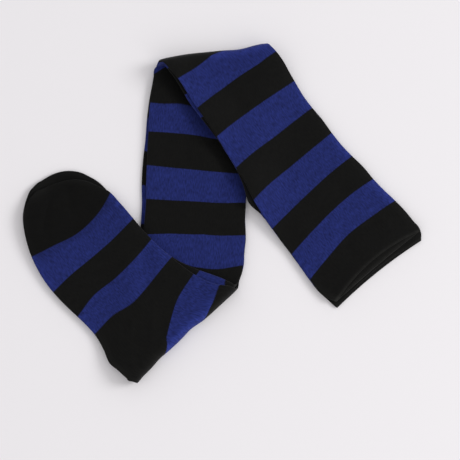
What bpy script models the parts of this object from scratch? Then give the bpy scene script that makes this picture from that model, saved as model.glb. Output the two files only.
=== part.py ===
"""Pair of over-the-knee socks, nested and folded together.

Two equal knit tubes lie on each other and are folded as one: the leg lies on
the table, the foot is folded up over it at the ankle and the thigh end is
folded down over it at the knee. Each tube is a real one: a 1.1 mm wall all
round a flat hollow, closed at the toe and open at the welt.

The tubes are laid out flat, as a stack of two, and one common fold carries
both, so that they stay nested from toe to welt.
"""

import math

import bmesh
import bpy

MM = 0.001

# Wall and stack, mm
WALL = 1.1
HOLLOW = 0.4
TUBE = 2 * WALL + HOLLOW
NEST_GAP = 0.5
STOREY_GAP = 0.5
STACK = 2 * TUBE + NEST_GAP
AXIS_HEIGHT = STACK + STOREY_GAP / 2
UPPER_FLOOR = STACK + STOREY_GAP

# The fold: material length of half a turn, and the rings that carry it
FOLD_RADIUS = 3.0
FOLD_LENGTH = math.pi * FOLD_RADIUS
FOLD_RINGS = 10

# How far from the leg the upper tubes take to come down to the table, mm
SETTLE_FOOT = 42.0
SETTLE_CUFF = 52.0

# Height of the open loop each fold leaves above the leg, and how fast it
# closes away from the fold line, mm
LOOP_KNEE = 2.6
LOOP_ANKLE = 1.8
LOOP_REACH = 17.0

# How far the two mouths stand open, and how far in that fades, mm
GAPE = 0.9
GAPE_REACH = 50.0

# Facets of one ring
ACROSS = 12
ARC = 2
LIP = 0.4

# First toe row that has the hollow in it
HOLLOW_STARTS = 2

# Plan measures are taken on a 460 mm square over the pair, x from its left
# side and y down from its top, with y seen a little short.
LENGTHEN = 1.015

# The two fold axes: a point on each side edge, on the tube stack's fold line
ANKLE_FOLD = ((131.5, 379.0), (233.2, 286.0))
KNEE_FOLD = ((158.0, 66.2), (268.0, 48.9))

# Soft pulls of the laid pair: x, y, pull right, pull down, reach
PULLS = (
    (134.5, 384.0, 3.4, -1.2, 10.0),
    (178.0, 345.0, -0.7, -1.0, 22.0),
    (190.0, 54.0, 0.0, -2.2, 22.0),
    (240.0, 47.0, 0.0, 2.0, 14.0),
)

# Toe rows, tip first: left x, left y, right x, right y, thickness share
TOE_OUTER = (
    (31.5, 197.0, 40.5, 189.6, 0.55),
    (27.8, 203.2, 50.5, 183.8, 0.80),
    (25.0, 210.0, 60.5, 180.0, 0.95),
    (23.2, 220.0, 73.0, 177.6, 1.00),
    (24.0, 230.5, 85.0, 178.6, 1.00),
    (27.6, 244.5, 97.5, 184.6, 1.00),
)
TOE_INNER = (
    (30.5, 190.2, 43.5, 179.4, 0.55),
    (27.0, 198.5, 53.5, 175.4, 0.80),
    (24.2, 207.0, 65.0, 172.0, 0.95),
    (22.5, 218.5, 79.0, 172.4, 1.00),
    (23.6, 230.5, 90.0, 177.8, 1.00),
    (27.4, 244.5, 99.0, 183.6, 1.00),
)

# Rows shared by both tubes. Columns: left x, left y, right x, right y, bow
# towards the knee fold, and how far the inner tube stands out of the outer
# one at its left and its right edge
FOOT = (
    (32.0, 256.5, 108.5, 191.3, 0.0, 0.0, 0.0),
    (42.5, 275.5, 121.5, 204.6, 0.0, 0.0, 0.0),
    (55.5, 292.0, 133.5, 219.3, 0.0, 0.0, 0.0),
    (68.0, 304.5, 142.0, 228.8, 0.0, 0.0, 0.0),
    (80.0, 315.5, 151.5, 239.0, 0.0, 0.0, 0.0),
    (90.0, 325.5, 161.5, 248.8, 0.0, 0.0, 0.0),
    (99.0, 336.0, 172.0, 258.0, 0.0, 0.0, 1.0),
    (105.5, 349.5, 183.0, 266.5, 0.0, 0.0, 3.0),
    (112.5, 361.5, 194.0, 274.5, 0.0, 0.0, 5.5),
    (120.5, 370.0, 206.0, 281.3, 0.0, 0.0, 6.0),
    (128.0, 376.5, 219.0, 286.0, 0.0, 0.0, 4.5),
)
ANKLE_ENDS = ((133.0, 231.0, 0.0, 3.0), (132.0, 236.4, -1.0, -0.6))
LEG = (
    (136.0, 366.0, 240.5, 277.0, 0.0, -2.0, -0.8),
    (139.0, 349.0, 243.6, 266.0, 0.0, -3.0, -0.8),
    (140.5, 329.0, 245.0, 253.0, 0.0, -3.4, -0.4),
    (140.8, 305.0, 245.6, 240.0, 0.0, -3.6, -0.4),
    (140.4, 280.0, 245.6, 228.0, 0.0, -3.6, -0.4),
    (140.0, 255.0, 245.2, 218.0, 0.0, -3.6, 0.0),
    (139.9, 230.0, 245.6, 206.0, 0.0, -3.8, 0.0),
    (140.0, 206.0, 246.3, 193.0, 0.0, -4.4, 0.0),
    (140.8, 184.0, 247.3, 176.0, 0.0, -4.4, 0.0),
    (142.5, 162.0, 248.5, 156.0, 0.0, -4.0, 0.0),
    (144.8, 139.0, 250.0, 134.0, 0.0, -2.6, 0.0),
    (147.2, 114.0, 252.5, 108.0, 0.0, -1.8, 0.0),
    (150.3, 91.0, 257.0, 80.0, 0.0, -0.8, 0.0),
    (153.2, 76.0, 263.0, 60.0, 0.0, 0.0, 0.0),
)
KNEE_ENDS = ((155.0, 266.4, 0.4, 0.0), (163.6, 272.8, 0.8, 0.0))
CUFF = (
    (170.5, 73.0, 278.6, 53.3, 0.0, 2.0, 0.0),
    (178.5, 81.9, 283.0, 60.3, 0.0, 3.6, 0.0),
    (192.5, 103.0, 289.6, 71.6, 0.0, 4.6, 0.0),
    (206.6, 124.2, 296.8, 83.9, 0.5, 2.2, 0.0),
    (221.0, 145.8, 304.5, 95.9, 0.8, 0.4, 0.0),
    (235.8, 169.2, 313.2, 107.8, 1.0, 0.0, 0.0),
    (244.7, 184.7, 322.8, 119.8, 1.2, 0.0, 0.0),
    (253.7, 202.7, 332.2, 131.8, 1.6, 0.0, 0.0),
    (262.5, 216.0, 342.9, 143.8, 2.0, 0.0, 0.0),
    (271.7, 228.8, 353.2, 155.9, 2.6, 0.0, 0.0),
    (281.0, 241.0, 363.4, 167.4, 3.4, 0.0, 0.0),
    (290.5, 253.3, 372.9, 179.8, 4.2, 0.0, 0.0),
    (299.8, 266.2, 383.6, 191.0, 5.6, 0.0, 0.0),
    (309.0, 279.2, 394.4, 201.8, 7.0, 0.0, 0.0),
)
# Last rows of each tube, the mouth at the end: the same first five columns
MOUTH_OUTER = (
    (318.3, 291.2, 404.2, 212.0, 7.6),
    (328.0, 300.0, 413.5, 221.0, 7.6),
    (334.5, 302.0, 419.8, 231.5, 7.4),
)
MOUTH_INNER = (
    (318.3, 291.2, 404.2, 212.0, 6.6),
    (328.0, 301.3, 415.6, 223.0, 4.8),
    (335.2, 307.6, 421.8, 238.2, 2.2),
)
RIM = ((335.5, 307.5), (421.0, 236.0))


def smooth(t):
    """An ease from 0 to 1 while t goes from 0 to 1."""
    t = min(1.0, max(0.0, t))
    return t * t * (3.0 - 2.0 * t)


def unit(p, q):
    """Unit direction from p to q."""
    dx = q[0] - p[0]
    dy = q[1] - p[1]
    length = math.hypot(dx, dy)
    return (dx / length, dy / length)


def beyond(fold, side, p):
    """Distance of p beyond a fold line, on the side the material leaves."""
    ux, uy = unit(*fold)
    return side * (-(p[0] - fold[0][0]) * uy + (p[1] - fold[0][1]) * ux)


def across(fold, side, p, shift):
    """The point p moved by shift out over a fold line."""
    ux, uy = unit(*fold)
    return (p[0] - side * uy * shift, p[1] + side * ux * shift)


def lay_flat(fold, side, p):
    """Where a point of the folded-over stretch lies with the fold opened."""
    out = beyond(fold, side, p)
    return across(fold, side, p, FOLD_LENGTH - 2.0 * out)


ANKLE = (ANKLE_FOLD, 1.0)
KNEE = (KNEE_FOLD, -1.0)


def edge_x(rows, column, y):
    """The x of the leg's edge at height y of the plan."""
    if y >= rows[0][1 + column]:
        return rows[0][column]
    for low, high in zip(rows, rows[1:]):
        y0 = low[1 + column]
        y1 = high[1 + column]
        if y >= y1:
            t = (y0 - y) / (y0 - y1)
            return low[column] + t * (high[column] - low[column])
    return rows[-1][column]


def settle(p, foot):
    """How far a folded-over point has come down from the leg."""
    if foot:
        away = edge_x(LEG, 0, p[1]) - p[0] - 1.0
        return UPPER_FLOOR * smooth(away / SETTLE_FOOT)
    away = p[0] - edge_x(LEG, 2, p[1]) - 1.0
    return UPPER_FLOOR * smooth(away / SETTLE_CUFF)


def gape(p):
    """How far each mouth stands open above a point of the plan."""
    ux, uy = unit(*RIM)
    middle = ((RIM[0][0] + RIM[1][0]) / 2, (RIM[0][1] + RIM[1][1]) / 2)
    half = math.dist(*RIM) / 2
    dx = p[0] - middle[0]
    dy = p[1] - middle[1]
    side = min(1.0, abs(dx * ux + dy * uy) / half)
    back = abs(-dx * uy + dy * ux)
    return GAPE * (1.0 - side * side) ** 1.5 * smooth(1.0 - back / GAPE_REACH)


def lifted(w):
    """How many open mouths lie under a layer at height w of the flat stack."""
    if w >= STACK - WALL:
        return 0.0
    if w >= STACK - WALL - HOLLOW:
        return (STACK - WALL - w) / HOLLOW
    if w >= WALL + HOLLOW:
        return 1.0
    if w >= WALL:
        return 1.0 + (WALL + HOLLOW - w) / HOLLOW
    return 2.0


def fold(p, w):
    """Carry a point of the flat stack, w above the table, into the fold."""
    for line, side in (ANKLE, KNEE):
        out = beyond(line, side, p)
        if out <= 0.0:
            continue
        turn = min(1.0, out / FOLD_LENGTH) * math.pi
        radius = AXIS_HEIGHT - w
        rest = max(0.0, out - FOLD_LENGTH)
        reach = radius * math.sin(turn) - rest
        q = across(line, side, p, reach - out)
        z = AXIS_HEIGHT - radius * math.cos(turn)
        share = (1.0 - math.cos(turn)) / 2.0
        z -= share * settle(q, side > 0)
        loop = LOOP_ANKLE if side > 0 else LOOP_KNEE
        z += share * loop * math.exp(-((reach / LOOP_REACH) ** 2))
        if side < 0:
            z += share * gape(q) * lifted(w)
        return q, z
    return p, w


def world(q, z):
    """Plan point and height, mm, pulled and then in metres."""
    pulled = [q[0], q[1]]
    for x, y, right, down, reach in PULLS:
        share = math.exp(-((q[0] - x) ** 2 + (q[1] - y) ** 2) / reach**2)
        pulled[0] += right * share
        pulled[1] += down * share
    return (pulled[0] * MM, -pulled[1] * LENGTHEN * MM, z * MM)


def rows_of(inner):
    """The rings of one tube, toe to mouth, on the flat plan."""
    rows = []

    def add(place, left, right, bow, share, stand_left, stand_right):
        ux, uy = unit(left, right)
        left = (left[0] - ux * stand_left, left[1] - uy * stand_left)
        right = (right[0] + ux * stand_right, right[1] + uy * stand_right)
        if place is not None:
            left = lay_flat(*place, left)
            right = lay_flat(*place, right)
        rows.append((left, right, bow, share))

    for lx, ly, rx, ry, share in TOE_INNER if inner else TOE_OUTER:
        add(ANKLE, (lx, ly), (rx, ry), 0.0, share, 0.0, 0.0)
    for lx, ly, rx, ry, bow, out_l, out_r in FOOT:
        add(ANKLE, (lx, ly), (rx, ry), bow, 1.0, inner * out_l, inner * out_r)
    fold_rows(rows, ANKLE, ANKLE_ENDS, inner)
    for lx, ly, rx, ry, bow, out_l, out_r in LEG:
        add(None, (lx, ly), (rx, ry), bow, 1.0, inner * out_l, inner * out_r)
    fold_rows(rows, KNEE, KNEE_ENDS, inner)
    for lx, ly, rx, ry, bow, out_l, out_r in CUFF:
        add(KNEE, (lx, ly), (rx, ry), bow, 1.0, inner * out_l, inner * out_r)
    for lx, ly, rx, ry, bow in MOUTH_INNER if inner else MOUTH_OUTER:
        add(KNEE, (lx, ly), (rx, ry), bow, 1.0, 0.0, 0.0)
    return rows


def fold_rows(rows, place, ends, inner):
    """Rings parallel to a fold line, all the way round the fold."""
    line, side = place
    ux, uy = unit(*line)
    for step in range(FOLD_RINGS + 1):
        t = step / FOLD_RINGS
        first, last = ends
        shift = FOLD_LENGTH * (1.0 - t if side > 0 else t)
        points = []
        for edge in (0, 1):
            x = first[edge] + (last[edge] - first[edge]) * t
            stand = first[2 + edge] + (last[2 + edge] - first[2 + edge]) * t
            x += inner * stand * (1 if edge else -1) * ux
            y = line[0][1] + (x - line[0][0]) * uy / ux
            points.append(across(line, side, (x, y), shift))
        rows.append((points[0], points[1], 0.0, 1.0))


def ring(row, along, middle, half_height, inset, side_inset=(0.0, 0.0)):
    """One loop of a tube on the flat plan, from its left edge over the top."""
    left, right, bow, share = row
    ux, uy = unit(left, right)
    half_height *= share
    start = inset + half_height + side_inset[0]
    end = inset + half_height + side_inset[1]
    left = (left[0] + ux * start, left[1] + uy * start)
    right = (right[0] - ux * end, right[1] - uy * end)
    quarter = math.pi / 2 / ARC
    half = [(0.0, -math.cos(k * quarter), math.sin(k * quarter)) for k in range(ARC)]
    half += [(k / ACROSS, 0.0, 1.0) for k in range(ACROSS + 1)]
    half += [(1.0, math.sin(k * quarter), math.cos(k * quarter)) for k in range(1, ARC)]
    loop = []
    for turned in (False, True):
        for t, out, up in half:
            if turned:
                t, out, up = 1.0 - t, -out, -up
            out *= half_height
            push = along - bow * (1.0 - (2.0 * t - 1.0) ** 2)
            x = left[0] + (right[0] - left[0]) * t + ux * out + uy * push
            y = left[1] + (right[1] - left[1]) * t + uy * out - ux * push
            loop.append(((x, y), middle + up * half_height))
    return loop


def edge_insets(rows, index):
    """What a wall's thickness takes off a slanting edge, at each side."""
    before = rows[max(0, index - 1)]
    after = rows[min(len(rows) - 1, index + 1)]
    ux, uy = unit(rows[index][0], rows[index][1])
    insets = []
    for edge in (0, 1):
        tx, ty = unit(before[edge], after[edge])
        slant = max(0.35, abs(tx * uy - ty * ux))
        insets.append(WALL / slant - WALL)
    return insets


def tube_loops(rows, middle):
    """All loops of one tube: outside from toe to lip, then back inside."""
    full = TUBE / 2
    inner = HOLLOW / 2
    soft = 0.35
    loops = [ring(row, 0.0, middle, full, 0.0) for row in rows[:-1]]
    last = rows[-1]
    loops.append(ring(last, -LIP, middle, full, 0.0))
    loops.append(ring(last, 0.0, middle, full - soft, soft))
    loops.append(ring(last, 0.0, middle, inner + soft, WALL - soft))
    loops.append(ring(last, -LIP, middle, inner, WALL))
    for index in range(len(rows) - 2, HOLLOW_STARTS - 1, -1):
        slants = edge_insets(rows, index)
        loops.append(ring(rows[index], 0.0, middle, inner, WALL, slants))
    return loops


def make_tube(name, rows, middle, material):
    """One closed solid from the loops, with a flat end at each of them."""
    mesh = bpy.data.meshes.new(name)
    bm = bmesh.new()
    skins = []
    for loop in tube_loops(rows, middle):
        skins.append([bm.verts.new(world(*fold(*point))) for point in loop])
    count = len(skins[0])
    for low, high in zip(skins, skins[1:]):
        for k in range(count):
            n = (k + 1) % count
            if k < count // 2:
                bm.faces.new((low[k], low[n], high[n]))
                bm.faces.new((low[k], high[n], high[k]))
            else:
                bm.faces.new((low[k], low[n], high[k]))
                bm.faces.new((low[n], high[n], high[k]))
    for cap in (skins[0], skins[-1]):
        for k in range(count // 2):
            a = cap[k]
            b = cap[k + 1]
            c = cap[(count - k - 1) % count]
            d = cap[(count - k) % count]
            if a is not d:
                bm.faces.new((a, b, d))
            if b is not c:
                bm.faces.new((b, c, d))
    bmesh.ops.recalc_face_normals(bm, faces=bm.faces)
    for face in bm.faces:
        face.smooth = True
    bm.to_mesh(mesh)
    bm.free()
    mesh.materials.append(material)
    return bpy.data.objects.new(name, mesh)


def centre_on_origin(tubes):
    """Move the pair so that its box stands centred on the origin."""
    points = [vertex.co for tube in tubes for vertex in tube.data.vertices]
    shift = []
    for axis in (0, 1):
        low = min(point[axis] for point in points)
        high = max(point[axis] for point in points)
        shift.append(-(low + high) / 2)
    for point in points:
        point[0] += shift[0]
        point[1] += shift[1]


def knit(name, colour, roughness):
    """A plain cloth material."""
    material = bpy.data.materials.new(name)
    material.use_nodes = True
    shader = material.node_tree.nodes["Principled BSDF"]
    shader.inputs["Base Color"].default_value = (*colour, 1.0)
    shader.inputs["Roughness"].default_value = roughness
    return material


def build():
    """The two socks in a collection of their own."""
    for old in list(bpy.data.objects):
        bpy.data.objects.remove(old, do_unlink=True)
    pair = bpy.data.collections.new("over_the_knee_socks")
    bpy.context.scene.collection.children.link(pair)
    outer = knit("knit_outer", (0.018, 0.023, 0.150), 0.9)
    inner = knit("knit_inner", (0.010, 0.010, 0.011), 0.92)
    low = TUBE / 2
    high = TUBE + NEST_GAP + TUBE / 2
    tubes = [
        make_tube("sock_outer", rows_of(0), low, outer),
        make_tube("sock_inner", rows_of(1), high, inner),
    ]
    centre_on_origin(tubes)
    for tube in tubes:
        pair.objects.link(tube)


build()
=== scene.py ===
# %% [markdown]
# # A pair of over-the-knee socks, folded together
# Two equal tubes of striped jersey lie on each other and are folded as one: the
# leg lies on the table, the foot is folded up over it at the ankle, and the
# thigh end is folded down over it at the knee. The frame gives the two solids
# that the collision uses. Each is replaced here by a finer tube of the same form.

# %% Load the frame
import math

import bpy
import numpy as np
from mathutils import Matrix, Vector

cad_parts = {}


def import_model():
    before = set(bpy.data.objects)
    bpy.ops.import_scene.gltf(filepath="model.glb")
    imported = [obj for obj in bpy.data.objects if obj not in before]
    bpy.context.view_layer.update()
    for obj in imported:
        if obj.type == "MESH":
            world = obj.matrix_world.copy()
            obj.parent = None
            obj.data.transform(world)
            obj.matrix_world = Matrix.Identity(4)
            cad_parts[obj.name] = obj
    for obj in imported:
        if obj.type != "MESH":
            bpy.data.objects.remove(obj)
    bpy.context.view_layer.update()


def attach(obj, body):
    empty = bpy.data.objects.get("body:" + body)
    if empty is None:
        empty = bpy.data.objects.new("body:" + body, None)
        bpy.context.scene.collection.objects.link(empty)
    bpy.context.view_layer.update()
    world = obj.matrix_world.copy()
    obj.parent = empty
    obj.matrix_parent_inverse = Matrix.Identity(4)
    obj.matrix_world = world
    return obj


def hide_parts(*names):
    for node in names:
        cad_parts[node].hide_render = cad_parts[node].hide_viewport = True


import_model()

# %% [markdown]
# ## The camera
# The pair was photographed from nearly straight above with a longish lens: the
# far end of the cuff and the toe keep the same scale, and the front edges of the
# folds show a little. A camera 1.5 m away at 80 degrees gives that. It aims at
# the middle of the picture, so it needs no shift.

# %% Camera
ELEVATION = math.radians(80.0)
DISTANCE = 1.5
AIM = Vector((0.0079, -0.0192, 0.004))
LENS = 118.1
SENSOR = 36.0

camera_data = bpy.data.cameras.new("camera")
camera_data.lens = LENS
camera_data.sensor_width = SENSOR
camera = bpy.data.objects.new("camera", camera_data)
bpy.context.scene.collection.objects.link(camera)
back = Vector((0.0, -math.cos(ELEVATION), math.sin(ELEVATION)))
camera.location = AIM + back * DISTANCE
camera.rotation_euler = (-back).to_track_quat("-Z", "Y").to_euler()
bpy.context.scene.camera = camera
print("camera at", [round(v, 3) for v in camera.location])

# %% [markdown]
# ## Shader maths as Python
# A material is easier to read as arithmetic than as a web of nodes. This class
# wraps a socket, so that `1 - mask` or `a * b` adds the Math node it needs. All
# other nodes come from one method that sets a node's options before its sockets.

# %% Sockets that can be added and multiplied
class Wire:
    """A socket of a material's nodes that Python's operators work on."""

    def __init__(self, tree, socket):
        self.tree = tree
        self.socket = socket

    def math(self, operation, *items):
        inputs = dict(enumerate(items))
        return self.node("ShaderNodeMath", {"operation": operation}, inputs)

    def node(self, kind, settings, inputs, output=0):
        """Add a node: its settings first, then its sockets, each a value or a wire."""
        made = self.tree.nodes.new(kind)
        for name, value in settings.items():
            setattr(made, name, value)
        for name, value in inputs.items():
            if isinstance(value, Wire):
                self.tree.links.new(value.socket, made.inputs[name])
            else:
                made.inputs[name].default_value = value
        return Wire(self.tree, made.outputs[output])

    def __add__(self, other):
        return self.math("ADD", self, other)

    def __radd__(self, other):
        return self.math("ADD", other, self)

    def __sub__(self, other):
        return self.math("SUBTRACT", self, other)

    def __rsub__(self, other):
        return self.math("SUBTRACT", other, self)

    def __mul__(self, other):
        return self.math("MULTIPLY", self, other)

    def __rmul__(self, other):
        return self.math("MULTIPLY", other, self)

    def __truediv__(self, other):
        return self.math("DIVIDE", self, other)


def start_material(name):
    """A new material: its wires start here, and its shader is ready to be set."""
    material = bpy.data.materials.new(name)
    material.use_nodes = True
    tree = material.node_tree
    shader = tree.nodes["Principled BSDF"]
    return material, Wire(tree, None), shader


def set_shader(shader, constants, wires):
    """Constants go on the shader's own sockets, and only what varies is linked."""
    for name, value in constants.items():
        shader.inputs[name].default_value = value
    for name, wire in wires.items():
        wire.tree.links.new(wire.socket, shader.inputs[name])


# %% [markdown]
# ## The table and the light
# The ground is a plain pale sheet. The shadows lie soft on the left of the leg
# and of the cuff, so the main lamp is large and stands up on the right. A weak one
# helps from the front, and an even pale sky gives most of the light, as the walls
# of a light tent do.

# %% Floor
FLOOR_SIZE = 6.0
FLOOR_HEIGHT = -0.0003
FLOOR_COLOUR = (0.80, 0.785, 0.80, 1.0)

bpy.ops.mesh.primitive_plane_add(size=FLOOR_SIZE, location=(0.0, 0.0, FLOOR_HEIGHT))
floor = bpy.context.object
floor.name = "floor"
floor_material, _, floor_shader = start_material("pale_sheet")
set_shader(
    floor_shader,
    {"Base Color": FLOOR_COLOUR, "Roughness": 0.9, "Specular IOR Level": 0.1},
    {},
)
floor.data.materials.append(floor_material)
print("floor:", FLOOR_SIZE, "m wide")

# %% Light: place, size and power of each lamp
KEY = (Vector((4.1, 0.5, 2.7)), 2.2, 120.0)
FILL = (Vector((1.2, -1.2, 1.1)), 1.2, 4.0)
SKY = (0.745, 0.735, 0.745)
SKY_STRENGTH = 1.0


def lamp(name, place, size, power):
    """A round soft lamp that faces the middle of the table."""
    data = bpy.data.lights.new(name, "AREA")
    data.shape = "DISK"
    data.size = size
    data.energy = power
    made = bpy.data.objects.new(name, data)
    made.location = place
    made.rotation_euler = (-place).to_track_quat("-Z", "Y").to_euler()
    bpy.context.scene.collection.objects.link(made)
    print(name, "lamp:", power, "W,", round(place.length, 2), "m away")


lamp("key", *KEY)
lamp("fill", *FILL)

world = bpy.data.worlds.new("soft_sky")
world.use_nodes = True
world.node_tree.nodes["Background"].inputs["Color"].default_value = (*SKY, 1.0)
world.node_tree.nodes["Background"].inputs["Strength"].default_value = SKY_STRENGTH
bpy.context.scene.world = world
bpy.context.scene.view_settings.view_transform = "Standard"
print("sky strength:", SKY_STRENGTH)

# %% [markdown]
# ## The plan
# A folded sock is hard to model folded and easy to model flat. So both tubes
# are laid out flat first, as rows across them from toe to welt, and one common
# fold carries them both into place. The numbers are the driving sizes of the
# pair, in millimetres, on a square 460 mm wide over it: x from its left side,
# y down from its top. Where a stretch lies folded over, its rows are given as it
# lies, and they are opened out flat before use. Lengths along y come out a little
# longer than they look, because the camera sees them aslant.

# %% Sizes across the cloth
MM = 0.001
WALL = 1.1
HOLLOW = 0.4
TUBE = 2 * WALL + HOLLOW
NEST_GAP = 0.5
STOREY_GAP = 0.5
STACK = 2 * TUBE + NEST_GAP
AXIS_HEIGHT = STACK + STOREY_GAP / 2
UPPER_FLOOR = STACK + STOREY_GAP
FOLD_RADIUS = 3.0
FOLD_LENGTH = math.pi * FOLD_RADIUS
FOLD_RINGS = 10
LENGTHEN = 1.015
print("mm thick, a sock and the pair:", round(TUBE, 1), round(STACK, 1))

# %% Toe rows: left x, left y, right x, right y, thickness share
TOE_OUTER = (
    (37.5, 193.0, 39.2, 191.6, 0.25),
    (33.5, 197.4, 42.5, 190.4, 0.55),
    (30.0, 203.4, 52.0, 186.0, 0.80),
    (27.0, 210.2, 62.0, 182.4, 0.95),
    (25.4, 219.5, 74.0, 180.2, 1.00),
    (26.2, 230.0, 86.5, 181.6, 1.00),
    (29.4, 244.0, 98.2, 186.4, 1.00),
)
TOE_INNER = (
    (36.9, 184.6, 38.9, 183.0, 0.25),
    (31.4, 190.8, 44.0, 179.9, 0.55),
    (28.0, 198.8, 53.2, 174.5, 0.80),
    (25.8, 207.2, 64.6, 171.2, 0.95),
    (24.5, 218.0, 79.0, 172.0, 1.00),
    (25.8, 230.0, 90.3, 176.9, 1.00),
    (29.2, 244.0, 99.6, 182.6, 1.00),
)

# %% Shared rows: left x, left y, right x, right y, bow, inner stands out left, right
FOOT = (
    (33.6, 256.0, 108.5, 191.3, 0.0, 0.0, 0.0),
    (43.4, 275.0, 121.5, 204.6, 0.0, 0.0, 0.0),
    (55.8, 291.8, 133.8, 219.0, 0.0, 0.0, 0.0),
    (68.0, 304.5, 142.0, 228.8, 0.0, 0.0, 0.0),
    (80.0, 315.5, 151.5, 239.0, 0.0, 0.0, 0.0),
    (90.3, 325.2, 161.5, 248.8, 0.0, 0.0, 0.0),
    (99.6, 335.8, 172.0, 258.0, 0.0, 0.0, 1.0),
    (107.0, 348.6, 183.0, 266.5, 0.0, 0.0, 3.0),
    (112.9, 361.3, 194.0, 274.5, 0.0, 0.0, 6.0),
    (121.6, 368.7, 206.0, 281.3, 0.0, 0.0, 8.5),
    (128.5, 375.8, 219.0, 286.0, 0.0, 0.0, 8.0),
)
LEG = (
    (136.0, 366.0, 241.2, 277.0, 0.0, -2.0, -0.8),
    (139.0, 349.0, 244.2, 266.0, 0.0, -3.0, -0.8),
    (140.5, 329.0, 245.0, 253.0, 0.0, -3.4, -0.4),
    (140.8, 305.0, 246.4, 240.0, 0.0, -3.6, -0.4),
    (140.4, 280.0, 246.2, 228.0, 0.0, -3.6, -0.4),
    (140.0, 255.0, 245.8, 218.0, 0.0, -3.6, 0.0),
    (141.4, 230.0, 246.4, 206.0, 0.0, -3.6, 0.0),
    (142.6, 206.0, 246.8, 193.0, 0.0, -4.2, 0.0),
    (142.2, 184.0, 247.3, 176.0, 0.0, -4.6, 0.0),
    (143.2, 162.0, 248.5, 156.0, 0.0, -4.2, 0.0),
    (145.5, 139.0, 250.0, 134.0, 0.0, -2.8, 0.0),
    (147.2, 114.0, 252.5, 108.0, 0.0, -1.8, 0.0),
    (150.3, 91.0, 257.0, 80.0, 0.0, -0.8, 0.0),
    (153.2, 76.0, 263.0, 60.0, 0.0, 0.0, 0.0),
)
CUFF = (
    (170.5, 73.0, 278.3, 53.4, 0.0, 1.4, 0.0),
    (178.5, 81.9, 283.6, 60.0, 0.0, 2.4, 0.0),
    (192.5, 103.0, 290.4, 71.1, 0.0, 3.0, 0.0),
    (206.6, 124.2, 297.6, 83.3, 0.5, 2.0, 0.0),
    (221.0, 145.8, 304.9, 95.6, 0.8, 0.2, 0.0),
    (235.8, 169.2, 313.6, 107.4, 1.0, 0.2, 0.0),
    (244.7, 184.7, 323.4, 119.3, 1.2, 2.2, 0.0),
    (253.7, 202.7, 332.2, 131.8, 1.6, 5.2, 0.0),
    (262.5, 216.0, 342.0, 144.6, 2.0, 0.8, 0.0),
    (271.7, 228.8, 352.8, 156.3, 2.6, 0.0, 0.0),
    (281.0, 241.0, 363.8, 167.1, 3.4, 0.0, 0.0),
    (290.5, 253.3, 373.6, 179.2, 4.2, 0.0, 0.0),
    (299.8, 266.2, 384.1, 190.5, 5.0, 0.0, 0.0),
    (309.0, 279.2, 395.2, 201.2, 5.6, 0.0, 0.0),
)

# %% Mouth rows: left x, left y, right x, right y, bow, share, how far its faces part
MOUTH_OUTER = (
    (317.6, 290.4, 405.3, 211.9, 5.6, 1.00, 0.8),
    (326.0, 297.6, 413.4, 222.3, 5.1, 1.20, 1.8),
    (332.0, 300.4, 418.4, 228.4, 4.7, 1.40, 2.7),
    (334.6, 301.4, 419.8, 230.8, 4.4, 1.05, 3.3),
)
MOUTH_INNER = (
    (317.6, 290.4, 405.3, 211.9, 5.4, 1.00, 0.4),
    (327.8, 299.8, 414.2, 223.3, 5.0, 1.15, 0.8),
    (333.4, 305.0, 420.8, 232.5, 4.3, 1.35, 1.1),
    (335.8, 306.8, 420.8, 240.0, 4.0, 1.05, 1.3),
)
ROW_COUNT = len(TOE_OUTER + FOOT + LEG + CUFF + MOUTH_OUTER) + 2 * (FOLD_RINGS + 1)
print("rows across each sock:", ROW_COUNT)

# %% [markdown]
# ## The two folds
# A fold is a line on the plan and the side on which the cloth leaves it. Cloth
# beyond the line first runs round a half circle and then back over the leg. The
# end rows give how the side edges run round each fold, and how far the inner
# sock stands out there.

# %% Fold lines
ANKLE = (((131.5, 379.0), (233.2, 286.4)), 1.0)
KNEE = (((158.0, 66.0), (268.0, 48.2)), -1.0)
ANKLE_ENDS = (
    (131.4, 231.6, 0.0, 3.6),
    (133.9, 234.4, -0.5, 1.5),
    (134.2, 239.8, -1.0, -0.6),
)
KNEE_ENDS = (
    (155.0, 266.4, 0.4, 0.0),
    (159.3, 268.7, 0.5, 0.0),
    (163.6, 272.4, 0.6, 0.0),
)


def unit(p, q):
    """Unit direction from p to q."""
    length = math.dist(p, q)
    return ((q[0] - p[0]) / length, (q[1] - p[1]) / length)


def beyond(place, p):
    """Distance of points p beyond a fold line."""
    line, side = place
    ux, uy = unit(*line)
    return side * (-(p[..., 0] - line[0][0]) * uy + (p[..., 1] - line[0][1]) * ux)


def across(place, p, shift):
    """Points p moved by shift, straight out over a fold line."""
    line, side = place
    ux, uy = unit(*line)
    return np.stack([p[..., 0] - side * uy * shift, p[..., 1] + side * ux * shift], -1)


def lay_flat(place, p):
    """Where a point of a folded-over stretch lies once the fold is opened."""
    p = np.asarray(p, float)
    return across(place, p, FOLD_LENGTH - 2.0 * beyond(place, p))


# %% Rows of one sock on the flat plan
def fold_rows(place, ends, inner):
    """Rows parallel to a fold line, all the way round the fold."""
    line, side = place
    ux, uy = unit(*line)
    first, middle, last = np.array(ends)
    made = []
    # The side edges follow a curve through the three end rows.
    for t in np.linspace(0.0, 1.0, FOLD_RINGS + 1):
        shift = FOLD_LENGTH * (1.0 - t if side > 0 else t)
        spot = first * (1 - t) * (1 - 2 * t) + middle * 4 * t * (1 - t) + last * t * (2 * t - 1)
        row = []
        for edge, away in ((0, -1.0), (1, 1.0)):
            x = spot[edge] + inner * spot[2 + edge] * away * ux
            y = line[0][1] + (x - line[0][0]) * uy / ux
            row.extend(across(place, np.array((x, y)), shift))
        made.append([*row, 0.0, 1.0, 0.0])
    return made


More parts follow.
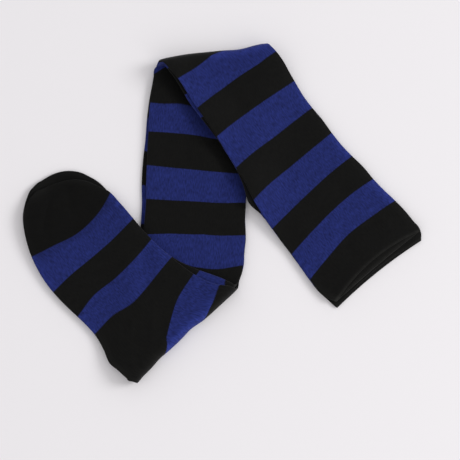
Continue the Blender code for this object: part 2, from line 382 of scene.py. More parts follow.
def rows_of(inner):
    """All rows, toe to mouth: left x, left y, right x, right y, bow, share, parting."""
    made = []

    def add(place, left, right, bow, share, parting):
        if place is not None:
            left = lay_flat(place, left)
            right = lay_flat(place, right)
        made.append([*left, *right, bow, share, parting])

    def add_shared(place, rows):
        for lx, ly, rx, ry, bow, out_left, out_right in rows:
            ux, uy = unit((lx, ly), (rx, ry))
            left = (lx - ux * out_left * inner, ly - uy * out_left * inner)
            right = (rx + ux * out_right * inner, ry + uy * out_right * inner)
            add(place, left, right, bow, 1.0, 0.0)

    for lx, ly, rx, ry, share in TOE_INNER if inner else TOE_OUTER:
        add(ANKLE, (lx, ly), (rx, ry), 0.0, share, 0.0)
    add_shared(ANKLE, FOOT)
    made.extend(fold_rows(ANKLE, ANKLE_ENDS, inner))
    add_shared(None, LEG)
    made.extend(fold_rows(KNEE, KNEE_ENDS, inner))
    add_shared(KNEE, CUFF)
    for lx, ly, rx, ry, bow, share, parting in MOUTH_INNER if inner else MOUTH_OUTER:
        add(KNEE, (lx, ly), (rx, ry), bow, share, parting)
    return np.array(made)


# %% [markdown]
# ## Smooth rows
# The rows above are as far apart as the outline needs. The cloth needs one every
# couple of millimetres, and no corner at any of them, so a smooth curve is laid
# through each column of the table and read at closer steps.

# %% A curve through given values
ROW_STEP = 2.4


def through(knots, values, at):
    """A smooth curve through the values given at the knots, read at other places."""
    steps = np.diff(knots)[:, None]
    slopes = np.diff(values, axis=0) / steps
    inside = steps[1:] * slopes[:-1] + steps[:-1] * slopes[1:]
    inside = inside / (steps[1:] + steps[:-1])
    tangents = np.concatenate([slopes[:1], inside, slopes[-1:]])
    k = np.clip(np.searchsorted(knots, at, "right") - 1, 0, len(knots) - 2)
    h = steps[k]
    t = ((at - knots[k]) / h[:, 0])[:, None]
    start = (1 + 2 * t) * (1 - t) ** 2 * values[k] + t * (1 - t) ** 2 * h * tangents[k]
    end = t * t * (3 - 2 * t) * values[k + 1] - t * t * (1 - t) * h * tangents[k + 1]
    return start + end


def fine_rows(rows):
    """The rows with smooth ones between them. Also, where the given ones are."""
    left = np.hypot(*np.diff(rows[:, 0:2], axis=0).T)
    right = np.hypot(*np.diff(rows[:, 2:4], axis=0).T)
    knots = np.concatenate([[0.0], np.cumsum((left + right) / 2)])
    places = []
    for k, longer in enumerate(np.maximum(left, right)):
        cells = max(2, math.ceil(longer / ROW_STEP))
        places.extend(np.linspace(knots[k], knots[k + 1], cells, endpoint=False))
    places.append(knots[-1])
    return through(knots, rows, np.array(places))


ROWS = [fine_rows(rows_of(inner)) for inner in (0, 1)]
print("fine rows, outer and inner sock:", [len(rows) for rows in ROWS])

# %% [markdown]
# ## How the upper cloth settles
# Over the leg, the folded-over stretches lie on it. Past its edges they come
# down to the table over a few centimetres. Each fold leaves an open loop, and
# the two mouths gape a little in their middle. Thick jersey also springs up here
# and there: at the rim of the toe, at the ends of the folds, and most of all where
# the thigh end's edge crosses the leg and shades it.

# %% Settling, loops and gape
SETTLE_FROM = 1.0
SETTLE_FOOT = 42.0
SETTLE_CUFF = 46.0
LOOP_KNEE = 3.4
LOOP_ANKLE = 2.6
LOOP_REACH = 17.0
GAPE = 1.8
GAPE_REACH = 50.0
GAPE_POWER = 1.5
RIM = ((335.5, 307.5), (421.0, 236.0))
print("the mouths gape by", GAPE, "mm each")

# %% Where the upper cloth stands off what it lies on: x, y, height, reach
LOFTS = (
    (26.0, 214.0, 3.8, 42.0),
    (130.0, 372.0, 0.8, 30.0),
    (228.0, 288.0, 3.0, 30.0),
    (172.0, 80.0, 9.6, 26.0),
    (208.0, 130.0, 9.4, 28.0),
    (248.0, 192.0, 7.0, 27.0),
    (266.0, 58.0, 2.2, 38.0),
)
print("places where the upper cloth stands off:", len(LOFTS))


def lofted(p):
    """How far a folded-over point stands off what it lies on."""
    total = np.zeros(p.shape[:-1])
    for x, y, height, reach in LOFTS:
        total += height * np.exp(-((p[..., 0] - x) ** 2 + (p[..., 1] - y) ** 2) / reach**2)
    return total


def smooth(t):
    """An ease from 0 to 1 while t goes from 0 to 1."""
    t = np.clip(t, 0.0, 1.0)
    return t * t * (3.0 - 2.0 * t)


def arch(t):
    """An arch: 0 where t is 0 or 1, and 1 halfway."""
    return 1.0 - (2.0 * t - 1.0) ** 2


def leg_edge(column, y):
    """The x of the leg's left or right edge at height y of the plan."""
    edge = np.array(LEG)[::-1]
    return np.interp(y, edge[:, column + 1], edge[:, column])


def settle(p, foot):
    """How far a folded-over point has come down from the leg."""
    if foot:
        away = leg_edge(0, p[..., 1]) - p[..., 0] - SETTLE_FROM
        return UPPER_FLOOR * smooth(away / SETTLE_FOOT)
    away = p[..., 0] - leg_edge(2, p[..., 1]) - SETTLE_FROM
    return UPPER_FLOOR * smooth(away / SETTLE_CUFF)


def gape(p):
    """How far each mouth stands open above a point of the plan."""
    ux, uy = unit(*RIM)
    middle = np.mean(RIM, axis=0)
    half = math.dist(*RIM) / 2
    dx = p[..., 0] - middle[0]
    dy = p[..., 1] - middle[1]
    side = np.minimum(1.0, np.abs(dx * ux + dy * uy) / half)
    inward = np.abs(-dx * uy + dy * ux)
    open_share = (1.0 - side * side) ** GAPE_POWER
    return GAPE * open_share * smooth(1.0 - inward / GAPE_REACH)


def mouths_below(w):
    """How many open mouths lie under a layer at height w of the flat stack."""
    heights = (WALL, WALL + HOLLOW, STACK - WALL - HOLLOW, STACK - WALL)
    return np.interp(w, heights, (2.0, 1.0, 1.0, 0.0))


# %% [markdown]
# ## Creases and puckers
# Jersey never lies dead flat. Each row below is one soft ridge, or a trough
# where its height is negative: where it starts and ends on the plan, how far it
# bends aside, how high and how wide it is. The upper ones show on the folded-over
# cloth, and the first of them are the hollow of the toe. The first two of the leg
# are its dip under the thigh end's edge and the swell beside that dip. The hidden
# ones lie on the faces below. Each fades out through the stack, so no layer is
# pushed through another.

# %% Crease tables: x, y, to x, to y, bend, height, width
CREASE_FADE = 0.35
UPPER_CREASES = (
    (66.0, 168.0, 56.0, 244.0, 0.0, -2.2, 22.0),
    (64.0, 264.0, 104.0, 230.0, 0.0, -1.2, 12.0),
    (58.0, 186.0, 45.0, 248.0, 3.0, -2.20, 4.0),
    (66.0, 178.0, 72.0, 224.0, -2.0, -1.80, 5.0),
    (58.0, 196.0, 56.0, 236.0, 1.0, 0.90, 4.5),
    (82.0, 190.0, 95.0, 210.0, 2.0, 0.45, 6.0),
    (68.0, 246.0, 112.0, 216.0, -2.0, -0.90, 5.0),
    (68.0, 262.0, 83.0, 289.0, 2.0, 0.35, 7.0),
    (162.0, 240.0, 168.0, 290.0, 2.0, 0.70, 6.0),
    (148.0, 234.0, 152.0, 300.0, 2.0, -2.00, 7.5),
    (142.0, 314.0, 137.0, 354.0, 2.0, -1.00, 4.0),
    (160.0, 306.0, 154.0, 354.0, 2.0, 1.80, 6.0),
    (122.0, 330.0, 119.0, 360.0, -2.0, 0.80, 6.0),
    (186.0, 286.0, 177.0, 330.0, -2.0, 0.45, 5.5),
    (213.0, 291.0, 197.0, 318.0, 2.0, -0.45, 5.0),
    (184.0, 57.0, 193.0, 80.0, -2.0, -0.45, 5.0),
    (206.0, 55.0, 213.0, 72.0, 1.0, 0.35, 5.0),
    (236.0, 52.0, 245.0, 76.0, 2.0, -0.50, 5.5),
    (257.0, 50.0, 271.0, 68.0, -2.0, 0.45, 4.5),
    (222.0, 74.0, 248.0, 118.0, 3.0, -0.60, 8.0),
    (248.0, 92.0, 276.0, 140.0, -3.0, -0.50, 6.5),
    (296.0, 204.0, 322.0, 268.0, 3.0, 0.60, 7.0),
    (330.0, 176.0, 352.0, 210.0, -2.0, -0.60, 7.0),
    (327.0, 262.0, 341.0, 281.0, 2.0, -0.45, 5.0),
    (340.0, 226.0, 352.0, 266.0, -2.0, -0.80, 6.0),
    (374.0, 214.0, 392.0, 236.0, -2.0, 0.70, 6.0),
)
LEG_CREASES = (
    (134.0, 10.0, 290.0, 247.0, 0.0, -4.2, 11.0),
    (124.0, 31.0, 240.0, 207.0, 0.0, 1.3, 8.0),
    (160.0, 72.0, 176.0, 96.0, -2.0, -0.35, 6.0),
    (164.0, 148.0, 168.0, 190.0, 2.0, 0.28, 8.0),
    (196.0, 138.0, 210.0, 176.0, -3.0, -0.30, 7.0),
    (222.0, 206.0, 228.0, 250.0, 3.0, -0.30, 7.0),
    (190.0, 214.0, 204.0, 246.0, -3.0, 0.25, 8.0),
)
HIDDEN_CREASES = (
    (44.0, 212.0, 60.0, 246.0, 3.0, 0.60, 5.0),
    (72.0, 186.0, 84.0, 222.0, -2.0, 0.45, 6.0),
    (84.0, 252.0, 101.0, 288.0, 3.0, 0.50, 6.5),
    (118.0, 236.0, 126.0, 270.0, -3.0, 0.40, 7.0),
    (118.0, 320.0, 138.0, 352.0, -3.0, 0.60, 5.0),
    (150.0, 118.0, 170.0, 160.0, 3.0, 0.50, 7.0),
    (186.0, 84.0, 222.0, 98.0, 2.0, 0.55, 6.0),
    (206.0, 150.0, 216.0, 196.0, -4.0, 0.40, 8.0),
    (160.0, 216.0, 176.0, 256.0, 2.0, 0.45, 7.0),
    (214.0, 232.0, 224.0, 262.0, -2.0, 0.50, 6.0),
    (172.0, 292.0, 190.0, 318.0, 3.0, 0.60, 5.0),
    (272.0, 96.0, 298.0, 128.0, 3.0, 0.45, 8.0),
    (282.0, 168.0, 300.0, 206.0, -3.0, 0.55, 7.0),
    (334.0, 190.0, 362.0, 216.0, 3.0, 0.40, 8.0),
    (318.0, 244.0, 340.0, 270.0, 2.0, 0.55, 6.0),
)


def creased(p, table):
    """Sum of the creases of a table at points p."""
    total = np.zeros(p.shape[:-1])
    for x, y, to_x, to_y, bend, height, width in table:
        ux, uy = unit((x, y), (to_x, to_y))
        dx = p[..., 0] - x
        dy = p[..., 1] - y
        t = (dx * ux + dy * uy) / math.dist((x, y), (to_x, to_y))
        aside = -dx * uy + dy * ux - bend * arch(t)
        ends = smooth(t / CREASE_FADE) * smooth((1.0 - t) / CREASE_FADE)
        total += height * ends * np.exp(-((aside / width) ** 2))
    return total


for title, table in (("seen", UPPER_CREASES), ("leg", LEG_CREASES), ("hidden", HIDDEN_CREASES)):
    print("creases,", title + ":", len(table))

# %% [markdown]
# ## The fold
# This is the whole shape in one step. A point at height w of the flat stack
# turns round the fold line at its own radius, runs back over the leg, settles,
# and takes its share of loop, gape and creases. The creases of the leg fade out
# short of the fold lines. Because every layer of both socks goes through the same
# step, none of them can cross. The pulls are given as x, y, by how much to the
# right and down, and their reach.

# %% Folding and placing points
FOLD_CLEAR = 14.0
PULLS = (
    (134.5, 384.0, 3.4, 0.0, 10.0),
    (162.0, 357.0, -0.8, -0.8, 9.0),
    (178.0, 345.0, -0.7, -1.0, 22.0),
    (190.0, 54.0, 0.0, -1.2, 20.0),
    (194.0, 330.0, -1.0, -1.6, 11.0),
    (240.0, 47.0, 0.0, 2.0, 14.0),
)


def fold(p, w):
    """Carry points of the flat stack, w above the table, into the folded pair."""
    q = p.copy()
    level = w / STACK
    clear = smooth(-np.maximum(beyond(ANKLE, p), beyond(KNEE, p)) / FOLD_CLEAR)
    z = w + creased(p, LEG_CREASES) * level * clear
    z += creased(p, HIDDEN_CREASES) * (1.0 - level) * clear
    for place in (ANKLE, KNEE):
        foot = place is ANKLE
        out = beyond(place, p)
        turn = np.clip(out / FOLD_LENGTH, 0.0, 1.0) * math.pi
        radius = AXIS_HEIGHT - w
        reach = radius * np.sin(turn) - np.maximum(0.0, out - FOLD_LENGTH)
        moved = across(place, p, reach - out)
        share = (1.0 - np.cos(turn)) / 2.0
        lift = lofted(moved) - settle(moved, foot)
        lift += (LOOP_ANKLE if foot else LOOP_KNEE) * np.exp(-((reach / LOOP_REACH) ** 2))
        lift += creased(moved, UPPER_CREASES) * (1.0 - level)
        lift += creased(moved, HIDDEN_CREASES) * level
        if not foot:
            lift += gape(moved) * mouths_below(w)
        height = AXIS_HEIGHT - radius * np.cos(turn) + share * lift
        q = np.where((out > 0.0)[..., None], moved, q)
        z = np.where(out > 0.0, height, z)
    return q, z


def pulled(q):
    """The small pulls that the pair got while it was laid down."""
    made = q.copy()
    for x, y, right, down, reach in PULLS:
        near = np.exp(-((q[..., 0] - x) ** 2 + (q[..., 1] - y) ** 2) / reach**2)
        made[..., 0] += right * near
        made[..., 1] += down * near
    return made


def world(q, z):
    """Metres, before the pair is centred."""
    q = pulled(q)
    return np.stack([q[..., 0], -q[..., 1] * LENGTHEN, z], -1) * MM


# %% [markdown]
# ## Where the stripes run
# The socks are knitted round and round, one course after another, so a stripe is
# a count of courses. Stripe edges are numbered from the toe: cloth is blue
# between an odd edge and the next even one. The tables say where each edge meets
# the sock's sides as it lies, and how far it bows towards the mouth a quarter,
# half and three quarters of the way across. The count in between is read off.

# %% Stripe edges along the sides: number, stretch, x, y
OUTER_LEFT = (
    (1, "foot", 33.1, 259.1), (2, "foot", 55.1, 293.7), (3, "foot", 80.3, 317.4),
    (4, "foot", 95.4, 334.5), (5, "leg", 139.0, 356.0), (6, "leg", 140.6, 323.0),
    (7, "leg", 140.6, 290.0), (8, "leg", 140.0, 257.0), (9, "leg", 140.0, 224.0),
    (10, "leg", 140.8, 185.0), (11, "leg", 143.6, 150.5), (12, "leg", 147.0, 117.0),
    (13, "leg", 151.5, 84.0), (15, "cuff", 178.9, 82.2), (16, "cuff", 198.1, 110.7),
    (17, "cuff", 217.7, 140.3), (18, "cuff", 237.1, 170.5), (19, "cuff", 254.8, 203.1),
    (20, "cuff", 274.3, 229.1), (21, "cuff", 293.8, 253.8), (22, "cuff", 311.0, 278.9),
)
OUTER_RIGHT = (
    (1, "foot", 110.8, 195.9), (2, "foot", 134.6, 221.1), (3, "foot", 153.1, 241.6),
    (4, "foot", 173.1, 258.9), (5, "foot", 195.0, 276.2), (6, "foot", 221.3, 286.0),
    (7, "leg", 243.0, 268.0), (8, "leg", 244.8, 255.0), (9, "leg", 245.6, 226.0),
    (10, "leg", 246.0, 196.0), (11, "leg", 247.8, 168.0), (12, "leg", 249.6, 140.0),
    (13, "leg", 252.2, 112.0), (14, "leg", 256.0, 86.0), (15, "leg", 262.4, 62.0),
    (16, "cuff", 277.5, 53.5), (17, "cuff", 293.9, 82.3), (18, "cuff", 312.4, 109.1),
    (19, "cuff", 332.4, 134.1), (20, "cuff", 352.5, 157.5), (21, "cuff", 373.9, 180.0),
    (22, "cuff", 395.6, 201.2),
)
INNER_LEFT = (
    (1, "foot", 33.1, 259.1), (2, "foot", 55.1, 293.7), (3, "foot", 80.3, 317.4),
    (4, "foot", 96.0, 335.3), (5, "leg", 142.0, 338.0), (6, "leg", 144.2, 300.0),
    (7, "leg", 144.0, 258.0), (8, "leg", 144.0, 235.5), (9, "leg", 144.6, 199.6),
    (10, "leg", 146.4, 165.7), (11, "leg", 147.9, 131.4), (12, "leg", 149.8, 102.2),
    (13, "leg", 153.5, 72.5), (14, "cuff", 168.0, 72.0), (15, "cuff", 184.5, 97.5),
    (16, "cuff", 201.0, 121.0), (17, "cuff", 224.2, 150.5), (18, "cuff", 238.0, 171.5),
    (19, "cuff", 261.5, 215.5), (20, "cuff", 279.0, 237.0), (21, "cuff", 296.0, 261.0),
    (22, "cuff", 314.8, 285.2),
)
INNER_RIGHT = (
    (1, "foot", 110.5, 194.5), (2, "foot", 134.6, 221.1), (3, "foot", 153.1, 241.6),
    (4, "foot", 173.5, 258.0), (5, "foot", 200.4, 274.0), (6, "foot", 227.0, 281.0),
    (7, "leg", 243.6, 264.4), (8, "leg", 245.6, 235.2), (9, "leg", 246.0, 202.8),
    (10, "leg", 247.6, 173.2), (11, "leg", 249.4, 141.5), (12, "leg", 251.6, 118.0),
    (13, "leg", 254.2, 97.0), (14, "leg", 261.0, 66.0), (15, "cuff", 275.0, 50.0),
    (16, "cuff", 286.5, 69.0), (17, "cuff", 300.5, 93.5), (18, "cuff", 318.5, 118.7),
    (19, "cuff", 336.5, 140.8), (20, "cuff", 357.2, 164.0), (21, "cuff", 378.5, 185.5),
    (22, "cuff", 401.0, 206.5),
)

# %% How the stripe edges bow: number, a quarter, half, three quarters across
OUTER_BOWS = (
    (0, 6.0, 9.0, 8.0), (1, 5.1, 11.6, 9.4), (2, -1.0, 0.2, 1.1), (3, -3.2, 0.9, 2.1),
    (4, -0.5, 3.0, 2.3), (5, 7.5, 4.1, -0.8), (6, 0.0, -4.0, -6.3), (7, 0.0, 0.0, 0.0),
    (14, 0.0, 0.0, 0.0), (15, 3.4, 4.2, 1.4), (16, -1.7, -2.8, -1.8),
    (17, -0.7, -0.6, -0.1), (18, -0.3, 0.4, 0.0), (19, -0.8, -0.1, 0.2),
    (20, 0.7, 0.7, 0.0), (21, 0.7, 0.2, -0.5), (22, 0.2, -1.3, 0.1), (23, 0.0, 0.0, 0.0),
)
INNER_BOWS = (
    (0, 6.0, 9.0, 8.0), (1, 5.0, 10.0, 8.0), (2, -1.0, 0.2, 1.1), (4, 0.0, 0.0, 0.0),
    (6, 0.0, -2.0, -3.0), (7, 4.5, 0.2, -2.5), (8, -1.3, -3.4, -2.3),
    (9, 0.5, 0.8, -0.1), (10, -0.5, -0.8, -1.4), (11, 2.2, 2.3, 1.2),
    (12, 2.2, 4.0, 1.6), (13, 22.0, 16.0, 6.0), (14, 0.0, 0.0, 0.0), (23, 0.0, 0.0, 0.0),
)
STRIPE = 33.0
TOE_COUNT = -0.75
MOUTH_COUNT = 23.1
print("stripe edges:", len(OUTER_RIGHT))

# %% [markdown]
# The edge numbers are turned into one smooth count over the whole cloth: first
# along the two sides, where each mark is looked up on the side's own line, then
# across, straight from side to side but for the bows.

# %% Count of stripes over the cloth
OPENED = {"foot": ANKLE, "leg": None, "cuff": KNEE}


def count_along(side, marks):
    """The stripe count at each fine row, along one side of a sock."""
    spots = [0.0]
    counts = [TOE_COUNT]
    for count, stretch, x, y in marks:
        place = OPENED[stretch]
        spot = np.array((x, y)) if place is None else lay_flat(place, (x, y))
        spots.append(nearest(side, spot))
        counts.append(count)
    spots.append(len(side) - 1.0)
    counts.append(MOUTH_COUNT)
    if sorted(spots) != spots:
        print("stripe marks out of order:", np.round(spots, 1))
    return np.interp(np.arange(len(side)), spots, counts)


def nearest(side, spot):
    """Where along a side its line comes nearest to a spot, as a row number."""
    start = side[:-1]
    step = side[1:] - start
    t = ((spot - start) * step).sum(1) / (step * step).sum(1)
    t = np.clip(t, 0.0, 1.0)
    gap = np.hypot(*(start + step * t[:, None] - spot).T)
    k = int(np.argmin(gap))
    return k + t[k]


def count_over(rows, left_marks, right_marks, bows, t):
    """The stripe count at each row and each share t of the way across."""
    left = count_along(rows[:, 0:2], left_marks)[:, None]
    right = count_along(rows[:, 2:4], right_marks)[:, None]
    count = left + (right - left) * t
    bows = np.array(bows, float)
    shape = np.zeros((len(bows), 5))
    shape[:, 1:4] = bows[:, 1:4]
    across_t = through(np.linspace(0.0, 1.0, 5), shape.T, t)
    places = np.clip(count, bows[0, 0], bows[-1, 0])
    bow = np.zeros_like(count)
    for k in range(len(t)):
        bow[:, k] = np.interp(places[:, k], bows[:, 0], across_t[k])
    return count - bow / STRIPE


# %% [markdown]
# ## The tube
# One ring of a sock is a flattened loop: out along the face that was on top of
# the flat stack, round the right edge, back along the other face, round the left
# edge. It is a little thinner at its two edges. Rings of the outside run from toe
# to rim, a round lip turns them in, and coarser rings of the inside run back. So
# each sock is one closed shell of cloth.

# %% One flattened loop
TOP_CELLS = 92
UNDER_CELLS = 56
ARC_CELLS = 6


def loop_shape():
    """For each point of a loop: share across, how far out sideways, how far up."""
    quarter = np.linspace(0.0, math.pi / 2, ARC_CELLS // 2 + 1)
    made = []
    for cells, turned in ((TOP_CELLS, 1.0), (UNDER_CELLS, -1.0)):
        start = 0.0 if turned > 0 else 1.0
        for angle in quarter[:-1]:
            made.append((start, -turned * math.cos(angle), turned * math.sin(angle)))
        for t in np.linspace(0.0, 1.0, cells + 1):
            made.append((start + turned * t, 0.0, turned))
        for angle in quarter[1:-1]:
            made.append((1.0 - start, turned * math.sin(angle), turned * math.cos(angle)))
    return np.array(made)


LOOP = loop_shape()
print("points round each ring:", len(LOOP))

# %% Rings from rows
EDGE_SHARE = 0.70
EDGE_REACH = 6.0


def rings(rows, along, half, inset):
    """Points of one ring per row on the flat plan, and their heights off its middle."""
    left = rows[:, None, 0:2]
    right = rows[:, None, 2:4]
    bow = rows[:, None, 4] - rows[:, None, 6] * LOOP[:, 2]
    half = half * rows[:, None, 5]
    run = right - left
    width = np.hypot(run[..., 0], run[..., 1])
    u = run / width[..., None]
    t, out, up = LOOP.T
    side = inset + half
    share = (side + (width - 2.0 * side) * t + out * half) / width
    push = along - bow * arch(t)
    x = left[..., 0] + run[..., 0] * share + u[..., 1] * push
    y = left[..., 1] + run[..., 1] * share - u[..., 0] * push
    inward = (width - 2.0 * side) * np.minimum(t, 1.0 - t)
    plump = EDGE_SHARE + (1.0 - EDGE_SHARE) * smooth(inward / EDGE_REACH)
    return np.stack([x, y], -1), up * half * plump


# %% [markdown]
# ## Wales and courses
# The pattern follows the cloth and not space, so every point carries its place
# in the knitting: the wale, counted round the tube, and the course, counted from
# the toe. They are stored as the piece's own UV map.

# %% Knitting coordinates
WALES = 168
COURSES = 32
FULL_WIDTH = 104.0
print("wales round a sock:", WALES, " courses in a stripe:", COURSES)


def wales_round(rows):
    """The wale at each point of each ring."""
    half = TUBE / 2
    face = FULL_WIDTH - 2.0 * half
    pitch = (2.0 * face + 2.0 * math.pi * half) / WALES
    width = np.hypot(*(rows[:, 2:4] - rows[:, 0:2]).T)
    face = np.minimum(width - 2.0 * half * rows[:, 5], face)[:, None]
    t, out, up = LOOP.T
    turn = np.arctan2(np.abs(out), np.abs(up)) * half
    top = (t - 0.5) * face + np.sign(out) * turn
    under = face + math.pi * half + (0.5 - t) * face - np.sign(out) * turn
    return np.where(np.arange(len(LOOP)) < TOP_CELLS + ARC_CELLS, top, under) / pitch


# %% [markdown]
# ## Painted highlight on bent edges
# Where cloth is bent round an edge it catches more light, and that light is
# painted into its colour as a paler band: along both folds, round the tip of the
# toe and along the tube's sides. The two tables say how much on either side, by
# the stripe count. The tip has its own amount and reach. The folds have where the
# middle of the pale band lies beyond the fold line on the flat plan, and its reach.
# A material reads it from an attribute of the points.

# %% How strong the painted highlight is
PAINTED_HIGHLIGHT_LEFT = (
    (0.0, 1.6), (1.0, 0.4), (3.5, 0.3), (4.2, 1.5), (5.2, 1.5), (6.0, 0.0), (14.0, 0.0),
    (15.0, 0.3), (19.0, 0.3), (20.0, 0.2), (22.0, 0.2), (22.6, 1.2), (23.0, 2.4),
)
PAINTED_HIGHLIGHT_RIGHT = (
    (0.0, 1.6), (1.0, 0.5), (3.0, 0.3), (5.0, 0.0), (14.0, 0.0), (17.0, 0.6), (23.0, 1.2),
)
PAINTED_HIGHLIGHT_REACH = 4.5
PAINTED_HIGHLIGHT_TIP = (2.4, 11.0)
PAINTED_HIGHLIGHT_FOLD = (7.0, 5.0)


def painted_highlight(rows, count, points):
    """How much painted highlight each point of each ring gets: 0 is none."""
    width = np.hypot(*(rows[:, 2:4] - rows[:, 0:2]).T)[:, None]
    t = LOOP[:, 0]
    middle_count = count[:, TOP_CELLS // 2, None]
    amount, reach = PAINTED_HIGHLIGHT_TIP
    total = amount * np.exp(-(((count - TOE_COUNT) * STRIPE / reach) ** 2))
    for table, away in ((PAINTED_HIGHLIGHT_LEFT, t), (PAINTED_HIGHLIGHT_RIGHT, 1.0 - t)):
        at, amount = np.array(table).T
        near = np.exp(-((width * away / PAINTED_HIGHLIGHT_REACH) ** 2))
        total = np.maximum(total, np.interp(middle_count, at, amount) * near)
    centre, reach = PAINTED_HIGHLIGHT_FOLD
    for place in (ANKLE, KNEE):
        near = np.exp(-(((beyond(place, points) - centre) / reach) ** 2))
        total = np.maximum(total, near)
    return total


# %% [markdown]
# ## One whole sock
# All rings of a sock are laid on the flat plan, then counted, then folded. Where a
# welt is swollen, the sock keeps its seat on what lies below it: the inner sock
# rises by half of its swelling, and the outer one by its own half and by all of
# the inner one's.

# %% Build one sock
LIP_ROUNDS = 6
INNER_EVERY = 4
HOLLOW_STARTS = 14
SWELLS_BELOW = (3.0, 1.0)


def skins(rows, middle, swells_below):
    """All rings of a sock: the outside, the lip, and the inside back to the toe."""
    half = TUBE / 2
    hollow = HOLLOW / 2
    lip = WALL / 2
    parts = [(rows, 0.0, half, 0.0)]
    rim = rows[-1:]
    for k in range(1, LIP_ROUNDS):
        angle = math.pi * k / LIP_ROUNDS
        outward = lip * math.sin(angle)
        down = lip * (1.0 - math.cos(angle))
        parts.append((rim, outward, half - down, down))
    inside = rows[:HOLLOW_STARTS:-INNER_EVERY]
    parts.append((inside, 0.0, hollow, WALL))
    points = []
    heights = []
    for part_rows, along, size, inset in parts:
        p, h = rings(part_rows, along, size, inset)
        swell = np.maximum(part_rows[:, None, 5] - 1.0, 0.0) * half
        points.append(p)
        heights.append(h + middle - swell * swells_below)
    used = [part[0] for part in parts]
    return np.concatenate(points), np.concatenate(heights), np.concatenate(used)


def sock(inner, marks, bows, middle):
    """One closed tube of cloth with its knitting coordinates."""
    rows = ROWS[inner]
    points, heights, used = skins(rows, middle, SWELLS_BELOW[inner])
    count = count_over(rows, *marks, bows, LOOP[:, 0])
    rim = np.repeat(count[-1:], LIP_ROUNDS - 1, axis=0)
    count = np.concatenate([count, rim, count[:HOLLOW_STARTS:-INNER_EVERY]])
    knit = np.stack([wales_round(used), count * COURSES], -1)
    q, z = fold(points, heights)
    places = world(q, z)
    return places, knit, painted_highlight(used, count, points)


def centred(socks):
    """Move the pair so that its box stands centred on the origin."""
    everything = np.concatenate([places.reshape(-1, 3) for places, _, _ in socks])
    shift = -(everything.min(0) + everything.max(0)) / 2
    shift[2] = 0.0
    print("pair, mm:", np.round(np.ptp(everything, axis=0) * 1000, 1))
    return [(places + shift, knit, highlight) for places, knit, highlight in socks]


LOW = TUBE / 2
HIGH = TUBE + NEST_GAP + TUBE / 2
PAIR = centred([
    sock(0, (OUTER_LEFT, OUTER_RIGHT), OUTER_BOWS, LOW),
    sock(1, (INNER_LEFT, INNER_RIGHT), INNER_BOWS, HIGH),
])


# %% Make the meshes
def closed_tube(name, places, knit, highlight):
    """A mesh object from rings of points, with both ends closed."""
    ring_count, round_count = places.shape[:2]
    index = np.arange(ring_count * round_count).reshape(ring_count, round_count)
    low = index[:-1]
    high = index[1:]
    faces = np.stack([low, np.roll(low, -1, 1), np.roll(high, -1, 1), high], -1)
    faces = faces.reshape(-1, 4).tolist()
    uv_rows = np.concatenate([knit, knit[:, :1] + (WALES, 0.0)], axis=1)
    width = round_count + 1
    uv_index = np.arange(ring_count * width).reshape(ring_count, width)
    corners = np.stack(
        [uv_index[:-1, :-1], uv_index[:-1, 1:], uv_index[1:, 1:], uv_index[1:, :-1]], -1
    ).reshape(-1)
    uvs = uv_rows.reshape(-1, 2)[corners]
    for ring, flip in ((0, True), (ring_count - 1, False)):
        cap = index[ring].tolist()
        faces.append(cap[::-1] if flip else cap)
        turned = knit[ring][::-1] if flip else knit[ring]
        uvs = np.concatenate([uvs, turned])
    mesh = bpy.data.meshes.new(name)
    mesh.from_pydata(places.reshape(-1, 3).tolist(), [], faces)
    layer = mesh.uv_layers.new(name="knit")
    layer.data.foreach_set("uv", uvs.astype(np.float32).ravel())
    # The strength of the painted highlight rides on the points as an attribute.
    highlight_layer = mesh.attributes.new("painted_highlight", "FLOAT", "POINT")
    highlight_layer.data.foreach_set("value", highlight.astype(np.float32).ravel())
    mesh.update()
    for polygon in mesh.polygons:
        polygon.use_smooth = True
    piece = bpy.data.objects.new(name, mesh)
    bpy.context.scene.collection.objects.link(piece)
    print(name, "triangles:", 2 * len(faces))
    return piece


SOCKS = {
    "sock_outer": closed_tube("sock_outer_knit", *PAIR[0]),
    "sock_inner": closed_tube("sock_inner_knit", *PAIR[1]),
}

# %% [markdown]
# ## The yarn
# Both yarns are matt and a little hairy, and slightly mottled in short streaks
# along the wales. Light is painted into the colour in three places: a painted
# highlight where the cloth is bent round an edge, a painted sheen on the last
# course of the welt, most on the outer sock, and painted shade over the toe. The
# welt's sheen and the toe's shade have the stripe count where the change starts
# and how fast it comes, with a minus where it comes before that count. The count
# is held at LAST_COUNT, half a stripe past the last edge, so that the welt stays
# black up to its rim. Streaks and mottle have their scale along the wales and the
# courses, and their detail. The stitches are too small to model, so they are a
# bump of V-shaped loops.

# %% Knit material
BLUE = (0.0116, 0.0186, 0.1105)
BLACK = (0.0035, 0.0035, 0.0032)
LAST_COUNT = 22.5
LOOP_SLANT = (0.7, 0.6)
STREAK = (1.1, 0.22, 2.0)
STREAK_DEPTH = (1.4, 0.4)
MOTTLE = (0.11, 0.12, 1.0)
MOTTLE_DEPTH = 0.4
SOCK_SEED = 3.0
MOTTLE_SEED = 7.0
# Gain of the painted highlight on bent edges.
HIGHLIGHT_GAIN = 0.5
# Painted sheen on the welt's last course: how strong on each sock, and where it starts.
WELT_PAINTED_SHEEN = (1.4, 0.8)
WELT_SHEEN_FROM = (23.02, 14.0)
# Painted shade over the toe: how dark, and where it ends.
TOE_PAINTED_SHADE = 0.38
TOE_SHADE_UNTIL = (1.3, -2.5)
RELIEF = (0.6, 0.4)
BUMP_STRENGTH = 0.5
BUMP_DEPTH = 0.0002


def ramp(wire, start, rate):
    """0 on one side of the start, then rising at the rate until it is 1."""
    rising = (wire - start) * rate
    return wire.math("MINIMUM", wire.math("MAXIMUM", rising, 0.0), 1.0)


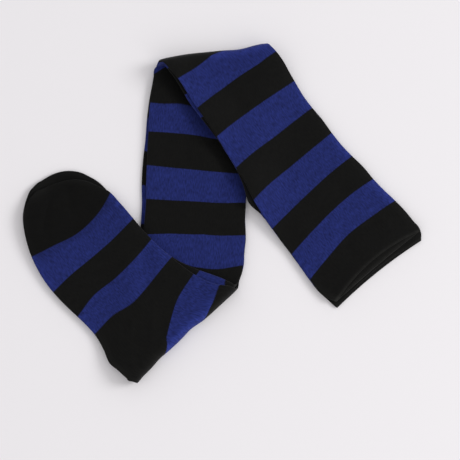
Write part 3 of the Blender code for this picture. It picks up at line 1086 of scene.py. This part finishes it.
def uneven(wale, course, scales, seed):
    """Soft noise over the knitting: its scale along wales and courses, its detail."""
    along_wale, along_course, detail = scales
    place = wale.node(
        "ShaderNodeCombineXYZ",
        {},
        {"X": wale * along_wale, "Y": course * along_course, "Z": seed},
    )
    noise = {"Vector": place, "Scale": 1.0, "Detail": detail}
    return wale.node("ShaderNodeTexNoise", {}, noise) - 0.5


def knit_material(name, seed, welt_sheen):
    """Striped jersey that follows the piece's own knitting coordinates."""
    material, wires, shader = start_material(name)
    uv = wires.node("ShaderNodeUVMap", {"uv_map": "knit"}, {})
    wale = wires.node("ShaderNodeSeparateXYZ", {}, {"Vector": uv})
    course = Wire(wale.tree, wale.socket.node.outputs["Y"])

    slant = wires.math("PINGPONG", wale, 0.5) * 2.0
    count = (course + slant * LOOP_SLANT[0]) / COURSES
    band = wires.math("MINIMUM", wires.math("MAXIMUM", count, 0.0), LAST_COUNT)
    blue = wires.math("FLOORED_MODULO", wires.math("FLOOR", band), 2.0)

    plain, more_on_blue = STREAK_DEPTH
    shade = 1.0 + uneven(wale, course, STREAK, seed) * (plain + blue * more_on_blue)
    shade = shade + uneven(wale, course, MOTTLE, seed + MOTTLE_SEED) * MOTTLE_DEPTH
    # Painted sheen on the last course of the welt.
    shade = shade * (1.0 + ramp(count, *WELT_SHEEN_FROM) * welt_sheen)
    # Painted highlight where the cloth is bent round an edge.
    highlight = wires.node("ShaderNodeAttribute", {"attribute_name": "painted_highlight"}, {}, 2)
    shade = shade * (1.0 + highlight * HIGHLIGHT_GAIN)
    # Painted shade over the toe.
    shade = shade * (1.0 - ramp(count, *TOE_SHADE_UNTIL) * TOE_PAINTED_SHADE)
    colour = wires.node(
        "ShaderNodeMix",
        {"data_type": "RGBA"},
        {"Factor": blue, 6: (*BLACK, 1.0), 7: (*BLUE, 1.0)},
        2,
    )
    shaded = wires.node(
        "ShaderNodeVectorMath", {"operation": "SCALE"}, {0: colour, "Scale": shade}
    )

    leg = wires.math("SINE", slant * math.pi)
    loop = wires.math("COSINE", (course + slant * LOOP_SLANT[1]) * (2.0 * math.pi))
    relief = leg * (RELIEF[0] + loop * RELIEF[1])
    bump = wires.node(
        "ShaderNodeBump",
        {},
        {"Strength": BUMP_STRENGTH, "Distance": BUMP_DEPTH, "Height": relief},
    )
    set_shader(
        shader,
        {
            "Specular IOR Level": 0.08,
            "Sheen Weight": 0.07,
            "Sheen Roughness": 0.50,
            "Roughness": 0.9,
        },
        {"Base Color": shaded, "Normal": bump},
    )
    return material


for number, (node, piece) in enumerate(SOCKS.items()):
    slot = node.replace("sock", "knit")
    piece.data.materials.append(knit_material(slot, SOCK_SEED * number, WELT_PAINTED_SHEEN[number]))
    print(piece.name, "is knitted in", slot)

# %% [markdown]
# ## Handing the pieces over
# Each sock rides on the one body, stands for its solid and takes the solid's
# material slot.

for node, piece in SOCKS.items():
    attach(piece, "root")
    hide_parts(node)
